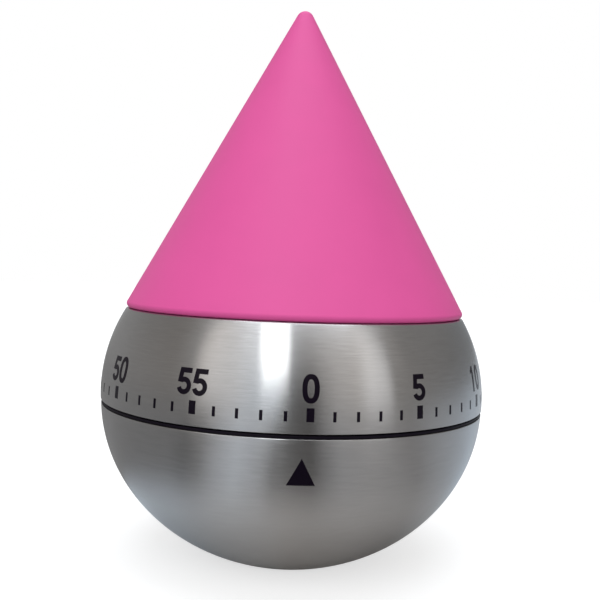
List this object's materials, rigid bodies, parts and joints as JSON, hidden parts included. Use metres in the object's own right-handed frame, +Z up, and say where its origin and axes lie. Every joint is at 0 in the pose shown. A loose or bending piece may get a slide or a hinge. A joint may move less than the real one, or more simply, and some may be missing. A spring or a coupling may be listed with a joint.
{
  "type": "kitchen timer",
  "caption": "Clockwork kitchen timer: a cone grip on a turning steel dial shell over a round steel bowl, with a spring movement, an escapement, a hammer and a gong inside.",
  "frame": {"origin": "centre of the underside of the foot", "axes": "+Z up along the dial's axis to the cone's tip, -Y towards the user, where the pointer is printed"},
  "size_m": [0.065, 0.065, 0.0929],
  "materials": {
    "cone_plastic": "pink moulded plastic with a satin soft-touch skin",
    "shell_steel": "stainless steel brushed round the axis",
    "bowl_steel": "stainless steel brushed round the axis",
    "foot_rubber": "matt black rubber",
    "chassis_plastic": "black moulded plastic",
    "carrier_plastic": "black moulded plastic",
    "arbor_steel": "turned and polished steel",
    "sheet_steel": "stamped sheet steel",
    "spring_steel": "blued spring steel",
    "gong_steel": "nickel-plated steel",
    "screw_steel": "zinc-plated steel",
    "post_brass": "turned brass",
    "plate_brass": "brushed brass sheet",
    "wheel_brass": "stamped brass"
  },
  "bodies": {
    "base": {"lower_bowl": "bowl_steel", "foot_pad": "foot_rubber", "bowl_screw": "screw_steel", "seam_ring": "chassis_plastic", "base_chassis": "chassis_plastic", "front_plate": "plate_brass", "back_plate": "plate_brass", "pillar_1": "post_brass", "pillar_2": "post_brass", "pillar_3": "post_brass", "plate_screw_1": "screw_steel", "plate_screw_2": "screw_steel", "plate_screw_3": "screw_steel", "movement_screw_1": "screw_steel", "movement_screw_2": "screw_steel", "movement_screw_3": "screw_steel", "stop_post": "arbor_steel", "spring_post": "arbor_steel", "mainspring": "spring_steel", "gong": "gong_steel", "gong_post": "post_brass", "gong_screw": "screw_steel"},
    "dial_head": {"cone_cap": "cone_plastic", "upper_shell": "shell_steel", "dial_carrier": "carrier_plastic", "cap_screw_1": "screw_steel", "cap_screw_2": "screw_steel", "cap_screw_3": "screw_steel", "main_arbor": "arbor_steel", "release_cam": "wheel_brass", "clutch_washer": "spring_steel"},
    "great_wheel_body": {"great_wheel": "wheel_brass"},
    "second_wheel_body": {"second_arbor": "arbor_steel", "second_wheel": "wheel_brass"},
    "third_wheel_body": {"third_arbor": "arbor_steel", "third_wheel": "wheel_brass"},
    "escape_wheel_body": {"escape_arbor": "arbor_steel", "escape_wheel": "wheel_brass"},
    "balance_body": {"balance_wheel": "wheel_brass", "pallet_staff": "arbor_steel"},
    "hammer_body": {"hammer_arbor": "arbor_steel", "hammer_tail": "sheet_steel", "hammer_arm": "sheet_steel", "hammer_head": "wheel_brass"}
  },
  "joints": [
    {"name": "dial_turn", "type": "hinge", "parent": "base", "child": "dial_head", "pos_m": [0, 0, 0.02632], "axis": [0, 0, -1], "range_deg": [0, 350], "stiffness_Nm_per_rad": 0.006, "springref_deg": -171.89},
    {"name": "great_wheel_turn", "type": "hinge", "parent": "base", "child": "great_wheel_body", "pos_m": [0, 0, 0.02632], "axis": [0, 0, -1], "range_deg": [-5, 355]},
    {"name": "second_wheel_turn", "type": "hinge", "parent": "base", "child": "second_wheel_body", "pos_m": [0.0128, 0, 0.02632], "axis": [0, 0, -1], "range_deg": [-2460, 10]},
    {"name": "third_wheel_turn", "type": "hinge", "parent": "base", "child": "third_wheel_body", "pos_m": [0.0081, 0.01017, 0.02632], "axis": [0, 0, -1], "range_deg": [-10, 14710]},
    {"name": "escape_wheel_turn", "type": "hinge", "parent": "base", "child": "escape_wheel_body", "pos_m": [-0.0007, 0.01448, 0.02632], "axis": [0, 0, -1], "range_deg": [-88210, 10]},
    {"name": "balance_swing", "type": "hinge", "parent": "base", "child": "balance_body", "pos_m": [-0.00798, 0.0127, 0.02632], "axis": [0, 0, 1], "range_deg": [-8, 8]},
    {"name": "hammer_swing", "type": "hinge", "parent": "base", "child": "hammer_body", "pos_m": [-0.01835, 0.00492, 0.02632], "axis": [0, 0, 1], "range_deg": [0, 12], "stiffness_Nm_per_rad": 0.002}
  ],
  "couplings": [
    {"joint": "great_wheel_turn", "follows": "dial_turn", "ratio": 1},
    {"joint": "second_wheel_turn", "follows": "dial_turn", "ratio": -7},
    {"joint": "third_wheel_turn", "follows": "dial_turn", "ratio": 42},
    {"joint": "escape_wheel_turn", "follows": "dial_turn", "ratio": -252}
  ]
}
